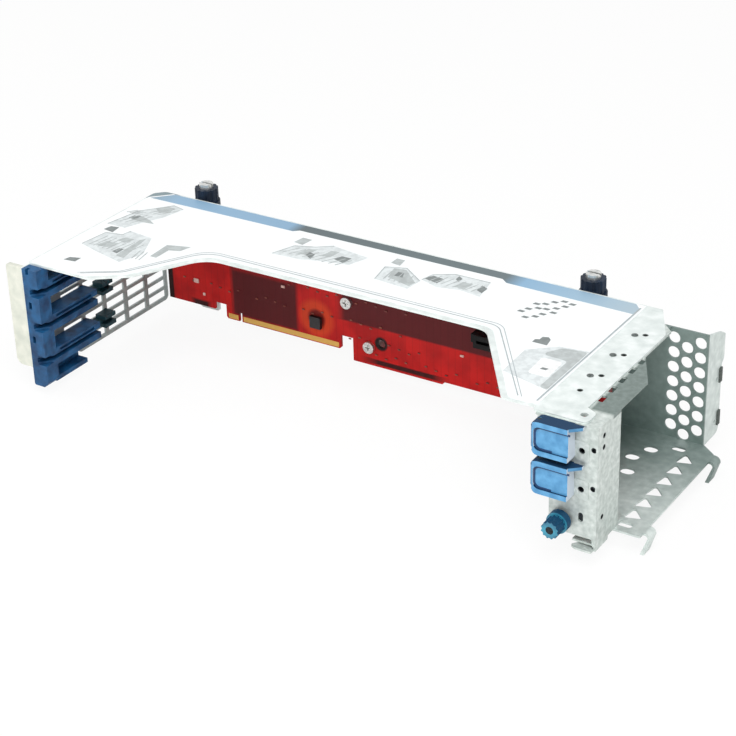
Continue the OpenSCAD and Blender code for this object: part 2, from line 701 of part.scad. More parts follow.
// ---- Card guide ----
// Upright column with three grooved arms and snap blocks that grip the front wall
guide_x = front_x + sheet_t;
guide_y = grip_y - 1;
module guide_arm(z, snap) difference() {
    union() {
        translate([guide_x, guide_y, z - guide_arm_h / 2])
            cube([guide_w, guide_column_d + guide_arm_l, guide_arm_h]);
        if (snap) translate([guide_x, guide_y + guide_column_d + guide_arm_l, 0]) {
            translate([0, 0, z - 1.2]) cube([guide_w * 0.4, guide_tongue_l, 2.4]);
            translate([0, guide_tongue_l, z - 3.6]) cube([guide_w * 0.7, guide_snap_l, 7.2]);
        }
    }
    // groove for the card, flared at its mouth
    translate([guide_x + guide_w - guide_groove_d, guide_y - cut, z - guide_groove_h / 2])
        cube([guide_groove_d + cut, 80, guide_groove_h]);
    translate([guide_x + guide_w, guide_y, z])
        linear_extrude(guide_groove_h * 2, center = true)
            polygon([[cut, -cut], [-guide_groove_d, -cut], [cut, 7]]);
    // relief pocket above the groove
    translate([guide_x + guide_w - 1.2, guide_y + guide_column_d + 3, z + guide_groove_h / 2 + 0.9])
        cube([2, guide_arm_l - 8, 1.6]);
}
module card_guide() color("steelblue") from_datum() {
    difference() {
        flat_xz(guide_y, guide_column_d) polygon(rounded([
            [guide_x, -sheet_t, 0], [guide_x + guide_w, -sheet_t, 0],
            [guide_x + guide_w, -guide_low + 3, 0], [guide_x + guide_w - 3, -guide_low, 0],
            [guide_x, -guide_low, 1],
        ]));
        for (z = slot_z)
            translate([guide_x + guide_w - guide_groove_d, guide_y - cut, z - guide_groove_h])
                cube([guide_groove_d + cut, guide_column_d + 2 * cut, 2 * guide_groove_h]);
        for (z = slot_z) translate([guide_x + 2.4, guide_y - cut, z + slot_pitch / 2])
            cube([2, 3, 4]);
    }
    for (i = [0:2]) guide_arm(slot_z[i], i > 0);
    translate([guide_x, guide_y + guide_column_d, -guide_low])
        cube([guide_w * 0.8, guide_thin_l, 2.6]);
    translate([guide_x, guide_y + guide_column_d, -guide_low])
        cube([1.6, guide_thin_l, guide_low + slot_z[2]]);
}

// ---- Latches ----
// A hollow moulding that swings on its pin; the nose at its free end holds a bracket tab
latch_x = latch_pin_x + latch_l;
latch_pad_d = 1;
ear_z = latch_h / 2 - ear_in - sheet_t / 2;  // middle of each ear, from the latch's middle
module latch_plan() {
    translate([latch_pin_x, latch_pin_y]) circle(latch_end_r);
    translate([latch_pin_x, latch_pin_y - latch_end_r]) square([latch_l, latch_t - 0.2]);
}
module latch_hollow() {
    translate([latch_pin_x, latch_pin_y]) circle(latch_end_r - latch_wall);
    translate([latch_pin_x, latch_pin_y - latch_end_r + latch_wall])
        square([latch_l - latch_wall, latch_t]);
    translate([latch_pin_x - latch_end_r + latch_wall, latch_pin_y])
        square([2 * (latch_end_r - latch_wall), latch_t]);
}
module latch_face(inset, r) polygon(rounded([
    [latch_pin_x - latch_end_r + inset, -latch_h / 2 + inset, r],
    [latch_x + 1, -latch_h / 2 + inset, 0],
    [latch_x + 1, latch_h / 2 - inset, 0],
    [latch_pin_x - latch_end_r + inset, latch_h / 2 - inset, r],
]));
module latch(z) color("steelblue") from_datum() translate([0, 0, z]) {
    outer_y = latch_pin_y - latch_end_r;
    difference() {
        intersection() {
            translate([0, 0, -latch_h / 2]) linear_extrude(latch_h) latch_plan();
            flat_xz(outer_y - 1, latch_t + 2) latch_face(0, 5);
        }
        translate([0, 0, -latch_h / 2 + latch_wall])
            linear_extrude(latch_h - 2 * latch_wall) latch_hollow();
        // thumb pad, sunk into the outer face
        flat_xz(outer_y - 1, 1 + latch_pad_d) latch_face(2.6, 3);
        translate([latch_pin_x, latch_pin_y, -latch_h])
            cylinder(2 * latch_h, r = latch_pin_r + running_fit);
        // slots that pass the ears while the latch swings open
        for (s = [-1, 1]) translate([latch_pin_x - latch_end_r - 1, latch_pin_y - 3.2,
                s * ear_z - sheet_t / 2 - play])
            cube([latch_end_r + 1, latch_t, sheet_t + 2 * play]);
    }
    translate([0, 0, latch_h / 2 - latch_wall]) linear_extrude(latch_wall) polygon([
        [latch_x, outer_y + 1], [latch_x, -1], [latch_x + nose_l, -1.2],
        [latch_x + nose_l, -2.8],
    ]);
}
module latch_upper() latch(latch_z[0]);
module latch_lower() latch(latch_z[1]);
module latch_pins() color("silver") from_datum()
    for (z = latch_z) translate([latch_pin_x, latch_pin_y, z - latch_h / 2 + play])
        cylinder(latch_h - 2 * play, r = latch_pin_r);

// ---- Slot thumbscrew ----
flutes = 12;
flute_r = 1.15;
thumb_reach = 7;   // from the flange's outer face to the screw's point
clip_t = 0.8;      // retaining clips of the screws
clip_out = 1.2;
module thumb_grip() color("teal") from_datum() translate([thumb_x, 0, thumb_z])
    rotate([90, 0, 0]) translate([0, 0, play + thumb_collar_t]) difference() {
        union() {
            cylinder(thumb_l * 0.35, r = thumb_d / 2);
            translate([0, 0, thumb_l * 0.35]) cylinder(thumb_l * 0.65, r = thumb_d / 2 - 1);
        }
        for (a = [0:360 / flutes:359]) rotate(a)
            translate([thumb_d / 2 - 0.4, 0, thumb_l * 0.35 + play]) cylinder(thumb_l, r = flute_r);
        translate([0, 0, -cut]) cylinder(thumb_l + 2 * cut, r = thumb_shank_r);
    }
module thumb_screw() color("silver") from_datum() translate([thumb_x, 0, thumb_z])
    rotate([90, 0, 0]) {
        translate([0, 0, -thumb_reach])
            cylinder(thumb_reach + play + thumb_collar_t + thumb_l, r = thumb_shank_r);
        translate([0, 0, play]) cylinder(thumb_collar_t, r = thumb_d / 2 - thumb_collar_t);
        translate([0, 0, -sheet_t - play - clip_t]) cylinder(clip_t, r = thumb_shank_r + clip_out);
    }

// ---- Captive screws ----
// Folded bracket: a web riveted behind the back wall, with two ears around the screw
module bracket(x) color("lightgray") from_datum() difference() {
    ear_d = captive_out + 6;
    union() {
        translate([x - bracket_w / 2, plate_d, bracket_ear_z[1] - sheet_t])
            cube([bracket_w, sheet_t, bracket_ear_z[0] - bracket_ear_z[1] + sheet_t]);
        for (z = bracket_ear_z) translate([x - bracket_w / 2, plate_d, z - sheet_t])
            linear_extrude(sheet_t) polygon(rounded([
                [0, 0, 0], [bracket_w, 0, 0], [bracket_w, ear_d, 5], [0, ear_d, 5],
            ]));
    }
    for (z = bracket_ear_z) hole_z(x, captive_y, z, captive_shank_r + running_fit);
    for (z = bracket_rivet_z) translate([x, plate_d - cut, z]) rotate([-90, 0, 0])
        cylinder(sheet_t + 2 * cut, r = rivet_r);
}
module bracket_left() bracket(captive_x[0]);
module bracket_right() bracket(captive_x[1]);

module captive_grip(x) color("midnightblue") from_datum() translate([x, captive_y, grip_z])
    difference() {
        union() {
            cylinder(captive_h * 0.3, r = captive_d / 2);
            cylinder(captive_h, r = captive_d / 2 - 0.8);
        }
        for (a = [0:360 / flutes:359]) rotate(a)
            translate([captive_d / 2 - 0.2, 0, captive_h * 0.3 + play])
                cylinder(captive_h, r = flute_r);
        translate([0, 0, -cut]) cylinder(captive_h + 2 * cut, r = captive_shank_r);
    }
thread_z = -captive_low + 2;
// Screw: steel cap with a driver slot, long shank, retaining clip, thread and point
module captive_screw(x) color("silver") from_datum() translate([x, captive_y, 0]) {
    difference() {
        translate([0, 0, captive_rise]) cylinder(cap_h, r = cap_d / 2);
        translate([-cap_d, -0.7, captive_rise + cap_h - 1.6]) cube([2 * cap_d, 1.4, 2]);
    }
    translate([0, 0, thread_z + captive_thread_l])
        cylinder(captive_rise - thread_z - captive_thread_l, r = captive_shank_r);
    translate([0, 0, thread_z]) cylinder(captive_thread_l, r = captive_thread_r);
    translate([0, 0, thread_z - 2]) cylinder(2, r1 = captive_thread_r - 1, r2 = captive_thread_r);
    translate([0, 0, bracket_ear_z[0] - sheet_t - play - clip_t])
        cylinder(clip_t, r = captive_shank_r + clip_out);
}
module captive_washer(x) color("silver") from_datum() translate([x, captive_y, washer_z])
    difference() {
        cylinder(washer_t, r = 4.6);
        translate([0, 0, -cut]) cylinder(washer_t + 2 * cut, r = captive_shank_r + running_fit);
    }
// Round wire swept along a helix, closed by a flat face at each end
wire_sides = 8;
ring_step = 30;
spring_r = captive_shank_r + 0.8 + spring_wire / 2;
module captive_spring(x) color("darkgray") from_datum() translate([x, captive_y, bracket_ear_z[0]]) {
    rings = spring_turns * 360 / ring_step;
    rise = spring_l - spring_wire;
    points = [for (i = [0:rings], k = [0:wire_sides - 1])
        let (
            a = i * ring_step,
            b = k * 360 / wire_sides,
            r = spring_r + spring_wire / 2 * cos(b)
        )
        [r * cos(a), r * sin(a), spring_wire / 2 + rise * i / rings + spring_wire / 2 * sin(b)]];
    sides = [for (i = [0:rings - 1], k = [0:wire_sides - 1])
        let (a = i * wire_sides, m = (k + 1) % wire_sides)
        [a + k, a + wire_sides + k, a + wire_sides + m, a + m]];
    ends = [
        [for (k = [0:wire_sides - 1]) k],
        [for (k = [wire_sides - 1:-1:0]) rings * wire_sides + k],
    ];
    polyhedron(points, concat(sides, ends));
}
module captive_grip_left() captive_grip(captive_x[0]);
module captive_grip_right() captive_grip(captive_x[1]);
module captive_screw_left() captive_screw(captive_x[0]);
module captive_screw_right() captive_screw(captive_x[1]);
module captive_washer_left() captive_washer(captive_x[0]);
module captive_washer_right() captive_washer(captive_x[1]);
module captive_spring_left() captive_spring(captive_x[0]);
module captive_spring_right() captive_spring(captive_x[1]);

cage_shell();
label();
rear_frame();
vent_panel();
gasket_pads();
rivets();
riser_board();
edge_contacts();
socket_upper();
socket_middle();
socket_lower();
board_chips();
board_capacitors();
board_screws();
board_standoffs();
card_guide();
latch_upper();
latch_lower();
latch_pins();
thumb_grip();
thumb_screw();
bracket_left();
bracket_right();
captive_grip_left();
captive_grip_right();
captive_screw_left();
captive_screw_right();
captive_washer_left();
captive_washer_right();
captive_spring_left();
captive_spring_right();
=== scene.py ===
import bpy
import bmesh
import math
from mathutils import Vector, Matrix


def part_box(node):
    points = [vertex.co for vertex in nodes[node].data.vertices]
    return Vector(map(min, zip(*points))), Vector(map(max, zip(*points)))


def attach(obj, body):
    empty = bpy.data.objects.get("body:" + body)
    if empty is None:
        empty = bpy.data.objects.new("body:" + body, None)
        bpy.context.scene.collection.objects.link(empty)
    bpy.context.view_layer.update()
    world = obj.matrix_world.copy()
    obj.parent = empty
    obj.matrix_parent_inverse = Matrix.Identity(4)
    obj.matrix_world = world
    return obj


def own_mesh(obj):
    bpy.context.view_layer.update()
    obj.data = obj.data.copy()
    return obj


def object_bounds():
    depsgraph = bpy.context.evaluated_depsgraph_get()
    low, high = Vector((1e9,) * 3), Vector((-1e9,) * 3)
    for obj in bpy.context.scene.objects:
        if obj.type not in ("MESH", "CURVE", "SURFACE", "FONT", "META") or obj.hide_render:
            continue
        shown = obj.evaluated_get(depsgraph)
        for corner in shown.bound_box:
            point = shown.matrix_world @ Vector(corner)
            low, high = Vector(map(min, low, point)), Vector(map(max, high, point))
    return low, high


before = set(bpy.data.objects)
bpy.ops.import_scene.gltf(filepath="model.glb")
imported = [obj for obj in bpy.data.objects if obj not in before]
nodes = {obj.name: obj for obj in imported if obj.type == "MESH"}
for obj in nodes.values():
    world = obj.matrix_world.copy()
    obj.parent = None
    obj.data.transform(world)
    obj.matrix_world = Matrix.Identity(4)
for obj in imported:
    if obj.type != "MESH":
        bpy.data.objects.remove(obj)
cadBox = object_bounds()
mm = 0.001
cageLow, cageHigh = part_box("cage_shell")
# card bracket plane, outer face of the near flange and upper face of the top plate
zero = Vector((cageLow.x + 342 * mm, cageHigh.y - 122.6 * mm, cageHigh.z))
print("frame loaded")


# ---- colour and node helpers ----
def linear(hexColour):
    channels = [int(hexColour[i:i + 2], 16) / 255 for i in (1, 3, 5)]
    return tuple(c / 12.92 if c <= 0.04045 else ((c + 0.055) / 1.055) ** 2.4 for c in channels) + (1.0,)


def addNode(material, kind, links=(), **settings):
    tree = material.node_tree
    node = tree.nodes.new(kind)
    for name, value in settings.items():
        if name == "inputs":
            for socket, number in value.items():
                node.inputs[socket].default_value = number
        else:
            setattr(node, name, value)
    for source, socket in links:
        tree.links.new(source, node.inputs[socket])
    return node


def newMaterial(name, metallic, roughness, ior=None):
    material = bpy.data.materials.new(name)
    material.use_nodes = True
    shader = material.node_tree.nodes["Principled BSDF"]
    shader.inputs["Metallic"].default_value = metallic
    shader.inputs["Roughness"].default_value = roughness
    if ior:
        shader.inputs["IOR"].default_value = ior
    return material, shader, material.node_tree.links


def colourRamp(material, source, stops, interpolation="LINEAR"):
    ramp = addNode(material, "ShaderNodeValToRGB", [(source, "Fac")])
    ramp.color_ramp.interpolation = interpolation
    elements = ramp.color_ramp.elements
    while len(elements) < len(stops):
        elements.new(0.5)
    for element, (place, hexColour) in zip(elements, stops):
        element.position = place
        element.color = linear(hexColour)
    return ramp.outputs["Color"]


def speckle(material, sizeMm, detail=3.0):
    place = addNode(material, "ShaderNodeTexCoord")
    return addNode(material, "ShaderNodeTexNoise", [(place.outputs["Object"], "Vector")],
        inputs={"Scale": 1 / (sizeMm * mm), "Detail": detail}).outputs["Fac"]


def placeShare(material, axis, start, end):
    # 0 to 1 between two places along an axis, in mm from the shared zero
    base = zero["XYZ".index(axis)]
    place = addNode(material, "ShaderNodeTexCoord")
    parts = addNode(material, "ShaderNodeSeparateXYZ", [(place.outputs["Object"], "Vector")])
    return addNode(material, "ShaderNodeMapRange", [(parts.outputs[axis], "Value")],
        inputs={"From Min": base + start * mm, "From Max": base + end * mm}).outputs["Result"]


def blend(material, share, first, second, kind="MIX"):
    # the second colour is a hex value
    mix = addNode(material, "ShaderNodeMix", [(share, 0), (first, 6)], data_type="RGBA",
        blend_type=kind, inputs={7: linear(second)})
    return mix.outputs[2]


def tinted(material, colour, tintsAndShade):
    # each tint darkens the sheet where all of its spans read 1; some tints are the sheet's own colour,
    # others are painted shade
    for hexColour, *spans in tintsAndShade:
        share = placeShare(material, *spans[0])
        for span in spans[1:]:
            share = addNode(material, "ShaderNodeMath", [(share, 0), (placeShare(material, *span), 1)],
                operation="MULTIPLY").outputs[0]
        colour = blend(material, share, colour, hexColour, "MULTIPLY")
    return colour


def grainBump(material, shader, height, depthMm):
    bump = addNode(material, "ShaderNodeBump", [(height, "Height")],
        inputs={"Strength": 0.6, "Distance": depthMm * mm})
    material.node_tree.links.new(bump.outputs["Normal"], shader.inputs["Normal"])


def dress(material, *names):
    for name in names:
        slots = nodes[name].data.materials
        slots.clear()
        slots.append(material)


# ---- materials ----
def zincSheet(name, colours, spangleMm=5.0, tintsAndShade=()):
    # Electro-galvanised steel sheet: satin, with soft cloudy spangle a few mm across; the tints given add
    # its own colours and painted shade
    sheet = {"grain": 0.5, "depth": 0.012}
    material, shader, links = newMaterial(name, 0.45, 0.42)
    cloud = speckle(material, spangleMm)
    tone = colourRamp(material, cloud, [(0.3, colours[0]), (0.52, colours[1]), (0.7, colours[2])])
    links.new(tinted(material, tone, tintsAndShade), shader.inputs["Base Color"])
    satin = addNode(material, "ShaderNodeMapRange", [(cloud, "Value")],
        inputs={"To Min": 0.36, "To Max": 0.5})
    links.new(satin.outputs["Result"], shader.inputs["Roughness"])
    grainBump(material, shader, speckle(material, sheet["grain"]), sheet["depth"])
    return material


def mouldedPlastic(name, colours, roughness, cloudMm=6.0, beyond=None, ior=1.54):
    # Injection-moulded ABS: fine spark-eroded grain, slight unevenness of tone
    grain = {"size": 0.35, "depth": 0.02}
    material, shader, links = newMaterial(name, 0.0, roughness, ior)
    cloud = speckle(material, cloudMm)
    tone = colourRamp(material, cloud, [(0.35, colours[0]), (0.65, colours[1])])
    if beyond:
        tone = blend(material, placeShare(material, *beyond[1:]), tone, beyond[0])
    links.new(tone, shader.inputs["Base Color"])
    grainBump(material, shader, speckle(material, grain["size"]), grain["depth"])
    return material


def facedPlastic(name, faceColours, shadeColour, roughness, endColour=None):
    # Moulded polycarbonate with a pale outer face: its edges and flanks are painted deeper in tone and
    # duller, as shade
    material, shader, links = newMaterial(name, 0.0, roughness, 1.58)
    cloud = speckle(material, 5.0)
    face = colourRamp(material, cloud, [(0.35, faceColours[0]), (0.65, faceColours[1])])
    normal = addNode(material, "ShaderNodeNewGeometry").outputs["Normal"]
    parts = addNode(material, "ShaderNodeSeparateXYZ", [(normal, "Vector")])
    outward = addNode(material, "ShaderNodeMath", [(parts.outputs["Y"], 0)], operation="MULTIPLY",
        inputs={1: -1.0})
    edge = addNode(material, "ShaderNodeMapRange", [(outward.outputs[0], "Value")],
        inputs={"From Min": 0.45, "From Max": 0.85})
    mix = addNode(material, "ShaderNodeMix", [(edge.outputs["Result"], 0), (face, 7)],
        data_type="RGBA", inputs={6: linear(shadeColour)})
    tone = mix.outputs[2]
    if endColour:
        end = addNode(material, "ShaderNodeMapRange", [(parts.outputs["X"], "Value")],
            inputs={"From Min": 0.8, "From Max": 0.95})
        tone = blend(material, end.outputs["Result"], tone, endColour)
    links.new(tone, shader.inputs["Base Color"])
    for socket, flank, front in (("Roughness", 0.6, roughness), ("Specular IOR Level", 0.2, 0.5)):
        level = addNode(material, "ShaderNodeMapRange", [(edge.outputs["Result"], "Value")],
            inputs={"To Min": flank, "To Max": front})
        links.new(level.outputs["Result"], shader.inputs[socket])
    grainBump(material, shader, speckle(material, 0.35), 0.015)
    return material


def fieldShare(material, place, x, z, halfX, halfZ, softness, square):
    # 1 inside a round or square-cornered field of the board's face, 0 outside it
    middle = zero + Vector((x, 0, z)) * mm
    spot = addNode(material, "ShaderNodeMapping", [(place, "Vector")], vector_type="TEXTURE",
        inputs={"Location": middle, "Scale": (halfX * mm, 1e6, halfZ * mm)}).outputs[0]
    if square:
        size = addNode(material, "ShaderNodeVectorMath", [(spot, 0)], operation="ABSOLUTE").outputs[0]
        parts = addNode(material, "ShaderNodeSeparateXYZ", [(size, "Vector")]).outputs
        reach = addNode(material, "ShaderNodeMath", [(parts["X"], 0), (parts["Z"], 1)],
            operation="MAXIMUM").outputs[0]
    else:
        reach = addNode(material, "ShaderNodeVectorMath", [(spot, 0)], operation="LENGTH")
        reach = reach.outputs["Value"]
    return addNode(material, "ShaderNodeMapRange", [(reach, "Value")],
        inputs={"From Min": 1.0, "From Max": 1.0 - softness}).outputs["Result"]


def solderMask():
    # Red epoxy solder mask over copper: glossy, maroon over the ground planes
    trace = 9.0
    boardFront = (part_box("riser_board")[0].x - zero.x) / mm
    fields = [  # x, z, half length, half height, softness, square, colour
        (-254.5, -48, 24, 16, 0.12, True, "#5a1418"), (-254.5, -20, 22, 16, 0.2, True, "#a31216"),
        (-145, -38, 61, 11, 0.1, True, "#5e161a"), (-219, -52, 13, 13, 0.3, False, "#d8401e"),
        # the near-black round at -176.5, -57.5 is painted shade: the dark inside of the mounting hole
        # spread over the face around it
        (-219, -52, 6.5, 6.5, 0.3, False, "#7a1a14"), (-176.5, -57.5, 4.6, 4.6, 0.2, False, "#1b0f0f"),
        # the thin strip at -161.5, -69.4 makes the board darker along its lower edge
        (-161.5, -69.4, 29, 1.8, 0.4, True, "#3c1213"),
        (boardFront + 1.5, -40, 2.6, 60, 0.4, True, "#2a0c0c"),
        (-300, -62, 8, 3, 0.5, True, "#3c1213")]
    material, shader, links = newMaterial("redSolderMask", 0.0, 0.42, 1.28)
    tone = colourRamp(material, speckle(material, 16.0), [(0.38, "#b01012"), (0.62, "#cc1a18")])
    place = addNode(material, "ShaderNodeTexCoord").outputs["Object"]
    for *shape, hexColour in fields:
        tone = blend(material, fieldShare(material, place, *shape), tone, hexColour)
    traces = addNode(material, "ShaderNodeTexBrick", [(place, "Vector")],
        inputs={"Scale": 1 / (trace * mm), "Mortar Size": 0.03, "Color1": (1, 1, 1, 1),
            "Color2": (0.8, 0.8, 0.8, 1), "Mortar": (0.6, 0.55, 0.55, 1)})
    mix = addNode(material, "ShaderNodeMix", [(tone, 6), (traces.outputs["Color"], 7)],
        data_type="RGBA", blend_type="MULTIPLY", inputs={0: 0.4})
    links.new(mix.outputs[2], shader.inputs["Base Color"])
    return material


def brightPlate(name, hexColour, roughness, highColour="#e8e8e6"):
    # Zinc-plated turned steel: bright, with faint turning marks a quarter of a millimetre apart
    material, shader, links = newMaterial(name, 0.9, roughness)
    cloud = speckle(material, 1.2)
    links.new(colourRamp(material, cloud, [(0.3, hexColour), (0.7, highColour)]),
        shader.inputs["Base Color"])
    grainBump(material, shader, speckle(material, 0.25), 0.01)
    return material


def printedFilm():
    # White polyester film with a hard semi-gloss coat and a slight ripple
    material, shader, links = newMaterial("printedFilm", 0.0, 0.32, 1.5)
    links.new(colourRamp(material, speckle(material, 60.0), [(0.3, "#eaeeef"), (0.7, "#f1f4f4")]),
        shader.inputs["Base Color"])
    grainBump(material, shader, speckle(material, 18.0), 0.03)
    return material


def plainInk(name, hexColour):
    # Screen ink: matte, with a trace of unevenness from the mesh. The same coat makes the painted shade
    # strips on the latch pads
    material, shader, links = newMaterial(name, 0.0, 0.5, 1.5)
    cloud = speckle(material, 3.0)
    darker = "#" + "".join("%02x" % int(int(hexColour[i:i + 2], 16) * 0.93) for i in (1, 3, 5))
    links.new(colourRamp(material, cloud, [(0.4, darker), (0.6, hexColour)]),
        shader.inputs["Base Color"])
    return material


def bandInkAndShade():
    # Colour band: printed steel blue, a slate middle that is painted shade, then printed pale blue that
    # fades out along its length
    material, shader, links = newMaterial("bandInkAndShade", 0.0, 0.4, 1.5)
    band = colourRamp(material, placeShare(material, "X", -330, -22), [(0.0, "#8298a6"),
        (0.06, "#84a8c4"), (0.31, "#7ba0bd"), (0.335, "#4c5a5e"), (0.75, "#59686c"), (0.785, "#7fa6c4"),
        (0.9, "#93b1c6"), (1.0, "#a3b6c1")])
    links.new(band, shader.inputs["Base Color"])
    return material


cageZinc = zincSheet("galvanisedSheet", ["#d3dbd9", "#e0e7e5", "#ecf1f0"], 6.0, [
    ("#f4efe4", ("X", -331.1, -331.3)),
    # painted shade: the lattice bars of the front wall are darker on their inner faces, below the top
    ("#b9bdbe", ("X", -329.7, -329.9), ("Z", -1.5, -2.0), ("Y", 7.2, 8.0)),
    ("#94a2aa", ("X", -315.0, -317.0), ("Y", 109.5, 111.0), ("Z", -0.8, -0.4))])
frameZinc = zincSheet("galvanisedFrame", ["#b3bcb8", "#c6ceca", "#d7ddda"], 2.6, [
    # painted shade on the frame's inner parts, below its top bar and behind the near post
    ("#9aa4a2", ("X", 0.5, 1.5), ("Z", -3.2, -2.9), ("Y", 14.0, 16.0))])
ventZinc = zincSheet("passivatedSheet", ["#bfc9c6", "#ccd5d2", "#d9e1de"], 4.0, [
    # painted shade on the wall and its tab, under the shelf above them
    ("#ebefee", ("Y", 112.4, 112.2), ("Z", -63.8, -63.5)),
    # painted shade, darker towards the inside of the cage
    ("#b9c0bf", ("X", 0.0, -25.0), ("Y", 112.4, 112.2)),
    # painted shade on the floor and wall, darker towards the back
    ("#a6b0ae", ("Y", 45.0, 95.0), ("Y", 112.4, 112.2))])
film = printedFilm()
guidePlastic = mouldedPlastic("blueAbs", ["#0d3256", "#1a5583"], 0.5, 7.0,
    ("#12363f", "Y", 48.9, 49.1), 1.38)
# the navy of the latch's top and flanks is painted shade; its pale blue face is the moulding's colour
latchPlastic = facedPlastic("blueLatchMoulding", ["#3f84b4", "#5c9fcd"], "#0b3150", 0.45,
    "#c3cdd8")
latchShade = plainInk("latchShade", "#143a66")
# the knob is teal; its face is painted paler as highlight and its flanks navy as painted shade
thumbPlastic = facedPlastic("tealKnobMoulding", ["#1b5f7c", "#3490aa"], "#0e4160", 0.4)
gripPlastic = mouldedPlastic("navyAbs", ["#0a1626", "#15283e"], 0.5, ior=1.35)
blackPlastic = mouldedPlastic("blackNylon", ["#08090a", "#121314"], 0.6, ior=1.3)
chipResin = mouldedPlastic("blackResin", ["#0e0e10", "#1c1c20"], 0.55)
gasketFoam = mouldedPlastic("greyFoam", ["#3a403d", "#555c58"], 0.8, 1.0)
turnedZinc = brightPlate("zincTurnedSteel", "#b8bab8", 0.28)
# rivet steel darkened as painted shade, so the rivets and strip bushes read as dark holes
rivetSteel = brightPlate("rivetSteelAndPaintedShade", "#4b5250", 0.42, "#7c8381")
# this dark steel also colours the seat bushes, where its dark is painted shade
darkSteel = brightPlate("blackOxideSteelAndHoleShade", "#202427", 0.4, "#3a4044")
springWire = brightPlate("springWire", "#8f9290", 0.3)
canAluminium = brightPlate("drawnAluminium", "#a9abad", 0.34)
goldPlate, goldShader, _ = newMaterial("goldPlate", 0.6, 0.36)
goldShader.inputs["Base Color"].default_value = linear("#e8bc66")
dress(cageZinc, "cage_shell", "bracket_left", "bracket_right")
dress(frameZinc, "rear_frame")
dress(ventZinc, "vent_panel")
dress(film, "label")
dress(guidePlastic, "card_guide")
dress(latchPlastic, "latch_upper", "latch_lower")
dress(thumbPlastic, "thumb_grip")
dress(gripPlastic, "captive_grip_left", "captive_grip_right")
dress(blackPlastic, "socket_upper", "socket_middle", "socket_lower")
dress(chipResin, "board_chips")
dress(gasketFoam, "gasket_pads")
dress(rivetSteel, "rivets")
dress(darkSteel, "latch_pins", "thumb_screw")
dress(turnedZinc, "board_screws", "board_standoffs", "captive_screw_left", "captive_screw_right",
    "captive_washer_left", "captive_washer_right")
dress(springWire, "captive_spring_left", "captive_spring_right")
dress(canAluminium, "board_capacitors")
dress(goldPlate, "edge_contacts")
dress(solderMask(), "riser_board")
print("materials on every carried-over node")


# ---- mesh helpers ----
def meshPiece(name, mesh, material, body):
    data = bpy.data.meshes.new(name)
    mesh.to_mesh(data)
    mesh.free()
    piece = bpy.data.objects.new(name, data)
    bpy.context.scene.collection.objects.link(piece)
    data.materials.append(material)
    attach(piece, body)
    return piece


def addBlock(mesh, low, high, bevel=0.0):
    size = [high[i] - low[i] for i in range(3)]
    middle = [(high[i] + low[i]) / 2 for i in range(3)]
    made = bmesh.ops.create_cube(mesh, size=1.0,
        matrix=Matrix.Translation(middle) @ Matrix.Diagonal((*size, 1)))
    if bevel:
        edges = list({e for v in made["verts"] for e in v.link_edges})
        bmesh.ops.bevel(mesh, geom=edges, offset=bevel, segments=2, affect="EDGES")


def addStroke(mesh, start, end, width, z, thick):
    run = Vector(end) - Vector(start)
    side = Vector((-run.y, run.x)).normalized() * width / 2
    corners = [Vector(start) - side, Vector(end) - side, Vector(end) + side, Vector(start) + side]
    low = [mesh.verts.new((c.x, c.y, z)) for c in corners]
    high = [mesh.verts.new((c.x, c.y, z + thick)) for c in corners]
    mesh.faces.new(low[::-1])
    mesh.faces.new(high)
    for i in range(4):
        j = (i + 1) % 4
        mesh.faces.new([low[i], low[j], high[j], high[i]])


def addOutline(mesh, points, width, z, thick, closed=True):
    ends = points[1:] + points[:1] if closed else points[1:]
    for start, end in zip(points, ends):
        addStroke(mesh, start, end, width, z, thick)


def ring(x, y, radius, steps=20):
    return [(x + radius * math.cos(math.tau * i / steps), y + radius * math.sin(math.tau * i / steps))
        for i in range(steps)]


def addPlate(mesh, points, z, thick):
    low = [mesh.verts.new((*p, z)) for p in points]
    high = [mesh.verts.new((*p, z + thick)) for p in points]
    mesh.faces.new(low[::-1])
    mesh.faces.new(high)
    for i in range(len(points)):
        j = (i + 1) % len(points)
        mesh.faces.new([low[i], low[j], high[j], high[i]])


def roundedPath(points, steps=6):
    # corners given as x, y and radius, each turned along an arc
    path = []
    for i, (x, y, radius) in enumerate(points):
        here = Vector((x, y))
        if not radius:
            path.append(here)
            continue
        before = (Vector(points[i - 1][:2]) - here).normalized()
        after = (Vector(points[(i + 1) % len(points)][:2]) - here).normalized()
        half = before.angle(after) / 2
        centre = here + (before + after).normalized() * radius / math.sin(half)
        start = here + before * radius / math.tan(half) - centre
        sweep = math.copysign(math.pi - 2 * half, -before.cross(after))
        path += [centre + Matrix.Rotation(sweep * k / steps, 2) @ start for k in range(steps + 1)]
    return path


# ---- label print ----
labelLow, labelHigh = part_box("label")
ink = {"lift": 0.02 * mm, "thick": 0.03 * mm, "fine": 0.55, "fold": 0.9, "foldX": -23.1}
fillZ = labelHigh.z + ink["lift"]
lineZ = fillZ + 3 * ink["thick"]


def onLabel(x, y):
    return ((zero.x + x * mm), (zero.y + y * mm))


def inkPiece(name, draw, material):
    mesh = bmesh.new()
    draw(mesh)
    return meshPiece(name, mesh, material, "cage")


def inkLine(mesh, points, width, closed=True):
    addOutline(mesh, [onLabel(*p) for p in points], width * mm, lineZ, ink["thick"], closed)


def inkFill(mesh, points, level=0):
    addPlate(mesh, [onLabel(*p) for p in points], fillZ + level * ink["thick"], ink["thick"])


def skewed(x, y, w, d, lean):
    return [(x, y), (x + w, y), (x + w + d * lean, y + d), (x + d * lean, y + d)]


